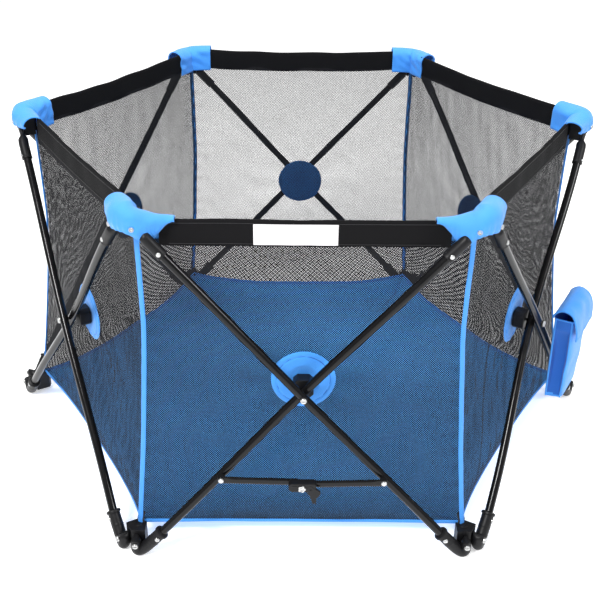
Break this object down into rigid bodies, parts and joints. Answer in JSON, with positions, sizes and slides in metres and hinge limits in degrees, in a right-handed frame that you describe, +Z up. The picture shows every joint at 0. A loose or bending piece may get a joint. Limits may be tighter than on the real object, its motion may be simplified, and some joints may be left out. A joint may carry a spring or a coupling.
{
  "type": "playpen",
  "caption": "Folding hexagonal play yard: crossed-tube scissor frame on foot and top hubs, hung net walls with corner caps, floor sheet, storage pouch and locking brace.",
  "frame": {"origin": "middle of the hexagon on the ground", "axes": "+Z up; -Y out through the panel that carries the brace; +X to the right seen from that panel, through a corner"},
  "size_m": [1.2988, 1.1522, 0.69],
  "materials": {
    "black_powder_coat": "gloss black powder coat on steel tube",
    "black_plastic": "satin moulded nylon, black",
    "dark_plastic": "matte moulded nylon, black",
    "screw_steel": "zinc plated, satin",
    "black_net": "fine warp-knit polyester net, black",
    "band_black": "coated woven polyester, black, soft sheen",
    "cap_blue": "woven nylon, bright azure blue",
    "binding_blue": "woven polyester binding tape, bright azure blue",
    "disc_blue": "padded woven nylon, bright azure blue",
    "blue_floor": "coated woven polyester, bright azure blue",
    "pouch_blue": "woven nylon, bright azure blue",
    "webbing_black": "woven polypropylene webbing, black",
    "label_white": "plain satin label"
  },
  "bodies": {
    "foot_hub_front_left": {"foot_hub_front_left": "dark_plastic"},
    "foot_hub_front_right": {"foot_hub_front_right": "dark_plastic"},
    "foot_hub_right": {"foot_hub_right": "dark_plastic"},
    "foot_hub_rear_right": {"foot_hub_rear_right": "dark_plastic"},
    "foot_hub_rear_left": {"foot_hub_rear_left": "dark_plastic"},
    "foot_hub_left": {"foot_hub_left": "dark_plastic"},
    "inner_arm_front": {"inner_tube_front": "black_powder_coat", "inner_foot_front": "black_plastic"},
    "outer_arm_front": {"outer_tube_front": "black_powder_coat", "outer_foot_front": "black_plastic"},
    "crossing_front": {"crossing_block_front": "dark_plastic"},
    "top_corner_front_left": {"top_hub_front_left": "dark_plastic", "net_front": "black_net"},
    "floor_front": {"floor_gore_front": "blue_floor"},
    "inner_arm_front_right": {"inner_tube_front_right": "black_powder_coat", "inner_foot_front_right": "black_plastic"},
    "outer_arm_front_right": {"outer_tube_front_right": "black_powder_coat", "outer_foot_front_right": "black_plastic"},
    "crossing_front_right": {"crossing_block_front_right": "dark_plastic", "storage_pouch": "pouch_blue"},
    "top_corner_front_right": {"top_hub_front_right": "dark_plastic", "net_front_right": "black_net"},
    "floor_front_right": {"floor_gore_front_right": "blue_floor"},
    "inner_arm_rear_right": {"inner_tube_rear_right": "black_powder_coat", "inner_foot_rear_right": "black_plastic"},
    "outer_arm_rear_right": {"outer_tube_rear_right": "black_powder_coat", "outer_foot_rear_right": "black_plastic"},
    "crossing_rear_right": {"crossing_block_rear_right": "dark_plastic"},
    "top_corner_right": {"top_hub_right": "dark_plastic", "net_rear_right": "black_net"},
    "floor_rear_right": {"floor_gore_rear_right": "blue_floor"},
    "inner_arm_rear": {"inner_tube_rear": "black_powder_coat", "inner_foot_rear": "black_plastic"},
    "outer_arm_rear": {"outer_tube_rear": "black_powder_coat", "outer_foot_rear": "black_plastic"},
    "crossing_rear": {"crossing_block_rear": "dark_plastic"},
    "top_corner_rear_right": {"top_hub_rear_right": "dark_plastic", "net_rear": "black_net"},
    "floor_rear": {"floor_gore_rear": "blue_floor"},
    "inner_arm_rear_left": {"inner_tube_rear_left": "black_powder_coat", "inner_foot_rear_left": "black_plastic"},
    "outer_arm_rear_left": {"outer_tube_rear_left": "black_powder_coat", "outer_foot_rear_left": "black_plastic"},
    "crossing_rear_left": {"crossing_block_rear_left": "dark_plastic"},
    "top_corner_rear_left": {"top_hub_rear_left": "dark_plastic", "net_rear_left": "black_net"},
    "floor_rear_left": {"floor_gore_rear_left": "blue_floor"},
    "inner_arm_front_left": {"inner_tube_front_left": "black_powder_coat", "inner_foot_front_left": "black_plastic"},
    "outer_arm_front_left": {"outer_tube_front_left": "black_powder_coat", "outer_foot_front_left": "black_plastic"},
    "crossing_front_left": {"crossing_block_front_left": "dark_plastic"},
    "top_corner_left": {"top_hub_left": "dark_plastic", "net_front_left": "black_net"},
    "floor_front_left": {"floor_gore_front_left": "blue_floor"},
    "brace_left": {"brace_link_left": "black_powder_coat"},
    "brace_right": {"brace_link_right": "dark_plastic"},
    "brace_latch": {"brace_latch": "dark_plastic"},
    "pouch_flap": {"pouch_flap": "pouch_blue"}
  },
  "joints": [
    {"name": "fold", "type": "hinge", "parent": "foot_hub_front_left", "child": "inner_arm_front", "pos_m": [-0.305, -0.55653, 0.029], "axis": [0, -1, 0], "range_deg": [0, 37], "deforming": ["net_front", "net_front_right", "net_rear_right", "net_rear", "net_rear_left", "net_front_left", "floor_gore_front", "floor_gore_front_right", "floor_gore_rear_right", "floor_gore_rear", "floor_gore_rear_left", "floor_gore_front_left"]},
    {"name": "crossing_front", "type": "hinge", "parent": "inner_arm_front", "child": "outer_arm_front", "pos_m": [0, -0.53805, 0.337], "axis": [0, 1, 0], "range_deg": [0, 74]},
    {"name": "block_front", "type": "hinge", "parent": "inner_arm_front", "child": "crossing_front", "pos_m": [0, -0.53805, 0.337], "axis": [0, 1, 0], "range_deg": [0, 37]},
    {"name": "foot_pivot_outer_front", "type": "hinge", "parent": "outer_arm_front", "child": "foot_hub_front_right", "pos_m": [0.305, -0.55653, 0.029], "axis": [0, -1, 0], "range_deg": [0, 37]},
    {"name": "top_pivot_inner_front", "type": "hinge", "parent": "inner_arm_front", "child": "top_corner_front_right", "pos_m": [0.27732, -0.50837, 0.645], "axis": [0, 1, 0], "range_deg": [0, 37]},
    {"name": "top_pivot_outer_front", "type": "hinge", "parent": "outer_arm_front", "child": "top_corner_front_left", "pos_m": [-0.27732, -0.50837, 0.645], "axis": [0, -1, 0], "range_deg": [0, 37]},
    {"name": "foot_pivot_inner_front_right", "type": "hinge", "parent": "foot_hub_front_right", "child": "inner_arm_front_right", "pos_m": [0.32947, -0.5424, 0.029], "axis": [0.866, -0.5, 0], "range_deg": [0, 37]},
    {"name": "crossing_front_right", "type": "hinge", "parent": "inner_arm_front_right", "child": "outer_arm_front_right", "pos_m": [0.46597, -0.26903, 0.337], "axis": [-0.866, 0.5, 0], "range_deg": [0, 74]},
    {"name": "block_front_right", "type": "hinge", "parent": "inner_arm_front_right", "child": "crossing_front_right", "pos_m": [0.46597, -0.26903, 0.337], "axis": [-0.866, 0.5, 0], "range_deg": [0, 37]},
    {"name": "foot_pivot_outer_front_right", "type": "hinge", "parent": "outer_arm_front_right", "child": "foot_hub_right", "pos_m": [0.63447, -0.01413, 0.029], "axis": [0.866, -0.5, 0], "range_deg": [0, 37]},
    {"name": "top_pivot_inner_front_right", "type": "hinge", "parent": "inner_arm_front_right", "child": "top_corner_right", "pos_m": [0.57892, -0.01401, 0.645], "axis": [-0.866, 0.5, 0], "range_deg": [0, 37]},
    {"name": "foot_pivot_inner_rear_right", "type": "hinge", "parent": "foot_hub_right", "child": "inner_arm_rear_right", "pos_m": [0.63447, 0.01413, 0.029], "axis": [0.866, 0.5, 0], "range_deg": [0, 37]},
    {"name": "crossing_rear_right", "type": "hinge", "parent": "inner_arm_rear_right", "child": "outer_arm_rear_right", "pos_m": [0.46597, 0.26903, 0.337], "axis": [-0.866, -0.5, 0], "range_deg": [0, 74]},
    {"name": "block_rear_right", "type": "hinge", "parent": "inner_arm_rear_right", "child": "crossing_rear_right", "pos_m": [0.46597, 0.26903, 0.337], "axis": [-0.866, -0.5, 0], "range_deg": [0, 37]},
    {"name": "foot_pivot_outer_rear_right", "type": "hinge", "parent": "outer_arm_rear_right", "child": "foot_hub_rear_right", "pos_m": [0.32947, 0.5424, 0.029], "axis": [0.866, 0.5, 0], "range_deg": [0, 37]},
    {"name": "top_pivot_inner_rear_right", "type": "hinge", "parent": "inner_arm_rear_right", "child": "top_corner_rear_right", "pos_m": [0.3016, 0.49435, 0.645], "axis": [-0.866, -0.5, 0], "range_deg": [0, 37]},
    {"name": "foot_pivot_inner_rear", "type": "hinge", "parent": "foot_hub_rear_right", "child": "inner_arm_rear", "pos_m": [0.305, 0.55653, 0.029], "axis": [0, 1, 0], "range_deg": [0, 37]},
    {"name": "crossing_rear", "type": "hinge", "parent": "inner_arm_rear", "child": "outer_arm_rear", "pos_m": [0, 0.53805, 0.337], "axis": [0, -1, 0], "range_deg": [0, 74]},
    {"name": "block_rear", "type": "hinge", "parent": "inner_arm_rear", "child": "crossing_rear", "pos_m": [0, 0.53805, 0.337], "axis": [0, -1, 0], "range_deg": [0, 37]},
    {"name": "foot_pivot_outer_front_left", "type": "hinge", "parent": "foot_hub_front_left", "child": "outer_arm_front_left", "pos_m": [-0.32947, -0.5424, 0.029], "axis": [0.866, 0.5, 0], "range_deg": [0, 37]},
    {"name": "crossing_front_left", "type": "hinge", "parent": "outer_arm_front_left", "child": "inner_arm_front_left", "pos_m": [-0.46597, -0.26903, 0.337], "axis": [-0.866, -0.5, 0], "range_deg": [0, 74]},
    {"name": "block_front_left", "type": "hinge", "parent": "inner_arm_front_left", "child": "crossing_front_left", "pos_m": [-0.46597, -0.26903, 0.337], "axis": [0.866, 0.5, 0], "range_deg": [0, 37]},
    {"name": "foot_pivot_inner_front_left", "type": "hinge", "parent": "inner_arm_front_left", "child": "foot_hub_left", "pos_m": [-0.63447, -0.01413, 0.029], "axis": [0.866, 0.5, 0], "range_deg": [0, 37]},
    {"name": "top_pivot_outer_front_left", "type": "hinge", "parent": "outer_arm_front_left", "child": "top_corner_left", "pos_m": [-0.57892, -0.01401, 0.645], "axis": [-0.866, -0.5, 0], "range_deg": [0, 37]},
    {"name": "foot_pivot_outer_rear_left", "type": "hinge", "parent": "foot_hub_left", "child": "outer_arm_rear_left", "pos_m": [-0.63447, 0.01413, 0.029], "axis": [0.866, -0.5, 0], "range_deg": [0, 37]},
    {"name": "crossing_rear_left", "type": "hinge", "parent": "outer_arm_rear_left", "child": "inner_arm_rear_left", "pos_m": [-0.46597, 0.26903, 0.337], "axis": [-0.866, 0.5, 0], "range_deg": [0, 74]},
    {"name": "block_rear_left", "type": "hinge", "parent": "inner_arm_rear_left", "child": "crossing_rear_left", "pos_m": [-0.46597, 0.26903, 0.337], "axis": [0.866, -0.5, 0], "range_deg": [0, 37]},
    {"name": "foot_pivot_inner_rear_left", "type": "hinge", "parent": "inner_arm_rear_left", "child": "foot_hub_rear_left", "pos_m": [-0.32947, 0.5424, 0.029], "axis": [0.866, -0.5, 0], "range_deg": [0, 37]},
    {"name": "top_pivot_outer_rear_left", "type": "hinge", "parent": "outer_arm_rear_left", "child": "top_corner_rear_left", "pos_m": [-0.3016, 0.49435, 0.645], "axis": [-0.866, 0.5, 0], "range_deg": [0, 37]},
    {"name": "floor_lift_front", "type": "hinge", "parent": "top_corner_front_left", "child": "floor_front", "pos_m": [0, -0.50028, 0.005], "axis": [1, 0, 0], "range_deg": [0, 80.5]},
    {"name": "floor_lift_front_right", "type": "hinge", "parent": "top_corner_front_right", "child": "floor_front_right", "pos_m": [0.43325, -0.25014, 0.005], "axis": [0.5, 0.866, 0], "range_deg": [0, 80.5]},
    {"name": "floor_lift_rear_right", "type": "hinge", "parent": "top_corner_right", "child": "floor_rear_right", "pos_m": [0.43325, 0.25014, 0.005], "axis": [-0.5, 0.866, 0], "range_deg": [0, 80.5]},
    {"name": "floor_lift_rear", "type": "hinge", "parent": "top_corner_rear_right", "child": "floor_rear", "pos_m": [0, 0.50028, 0.005], "axis": [-1, 0, 0], "range_deg": [0, 80.5]},
    {"name": "floor_lift_rear_left", "type": "hinge", "parent": "top_corner_rear_left", "child": "floor_rear_left", "pos_m": [-0.43325, 0.25014, 0.005], "axis": [-0.5, -0.866, 0], "range_deg": [0, 80.5]},
    {"name": "floor_lift_front_left", "type": "hinge", "parent": "top_corner_left", "child": "floor_front_left", "pos_m": [-0.43325, -0.25014, 0.005], "axis": [0.5, -0.866, 0], "range_deg": [0, 80.5]},
    {"name": "brace_rivet_left", "type": "hinge", "parent": "inner_arm_front", "child": "brace_left", "pos_m": [-0.14386, -0.55653, 0.17722], "axis": [0, -1, 0], "range_deg": [0, 47.1]},
    {"name": "brace_rivet_right", "type": "hinge", "parent": "outer_arm_front", "child": "brace_right", "pos_m": [0.14386, -0.55653, 0.17722], "axis": [0, 1, 0], "range_deg": [0, 47.1]},
    {"name": "latch", "type": "hinge", "parent": "brace_right", "child": "brace_latch", "pos_m": [0.0145, -0.57696, 0.17222], "axis": [0, -1, 0], "range_deg": [0, 20]},
    {"name": "pouch_flap", "type": "hinge", "parent": "crossing_front_right", "child": "pouch_flap", "pos_m": [0.51992, -0.21704, 0.3458], "axis": [-0.5, -0.866, 0], "range_deg": [0, 90]}
  ],
  "couplings": [
    {"joint": "crossing_front", "follows": "fold", "ratio": 2},
    {"joint": "block_front", "follows": "fold", "ratio": 1},
    {"joint": "foot_pivot_outer_front", "follows": "fold", "ratio": 1},
    {"joint": "top_pivot_inner_front", "follows": "fold", "ratio": 1},
    {"joint": "top_pivot_outer_front", "follows": "fold", "ratio": 1},
    {"joint": "foot_pivot_inner_front_right", "follows": "fold", "ratio": 1},
    {"joint": "crossing_front_right", "follows": "fold", "ratio": 2},
    {"joint": "block_front_right", "follows": "fold", "ratio": 1},
    {"joint": "foot_pivot_outer_front_right", "follows": "fold", "ratio": 1},
    {"joint": "top_pivot_inner_front_right", "follows": "fold", "ratio": 1},
    {"joint": "foot_pivot_inner_rear_right", "follows": "fold", "ratio": 1},
    {"joint": "crossing_rear_right", "follows": "fold", "ratio": 2},
    {"joint": "block_rear_right", "follows": "fold", "ratio": 1},
    {"joint": "foot_pivot_outer_rear_right", "follows": "fold", "ratio": 1},
    {"joint": "top_pivot_inner_rear_right", "follows": "fold", "ratio": 1},
    {"joint": "foot_pivot_inner_rear", "follows": "fold", "ratio": 1},
    {"joint": "crossing_rear", "follows": "fold", "ratio": 2},
    {"joint": "block_rear", "follows": "fold", "ratio": 1},
    {"joint": "foot_pivot_outer_front_left", "follows": "fold", "ratio": 1},
    {"joint": "crossing_front_left", "follows": "fold", "ratio": 2},
    {"joint": "block_front_left", "follows": "fold", "ratio": 1},
    {"joint": "foot_pivot_inner_front_left", "follows": "fold", "ratio": 1},
    {"joint": "top_pivot_outer_front_left", "follows": "fold", "ratio": 1},
    {"joint": "foot_pivot_outer_rear_left", "follows": "fold", "ratio": 1},
    {"joint": "crossing_rear_left", "follows": "fold", "ratio": 2},
    {"joint": "block_rear_left", "follows": "fold", "ratio": 1},
    {"joint": "foot_pivot_inner_rear_left", "follows": "fold", "ratio": 1},
    {"joint": "top_pivot_outer_rear_left", "follows": "fold", "ratio": 1},
    {"joint": "floor_lift_front", "follows": "fold", "ratio": 2.1757},
    {"joint": "floor_lift_front_right", "follows": "fold", "ratio": 2.1757},
    {"joint": "floor_lift_rear_right", "follows": "fold", "ratio": 2.1757},
    {"joint": "floor_lift_rear", "follows": "fold", "ratio": 2.1757},
    {"joint": "floor_lift_rear_left", "follows": "fold", "ratio": 2.1757},
    {"joint": "floor_lift_front_left", "follows": "fold", "ratio": 2.1757},
    {"joint": "brace_rivet_left", "follows": "fold", "ratio": 1.273},
    {"joint": "brace_rivet_right", "follows": "fold", "ratio": 1.273}
  ]
}
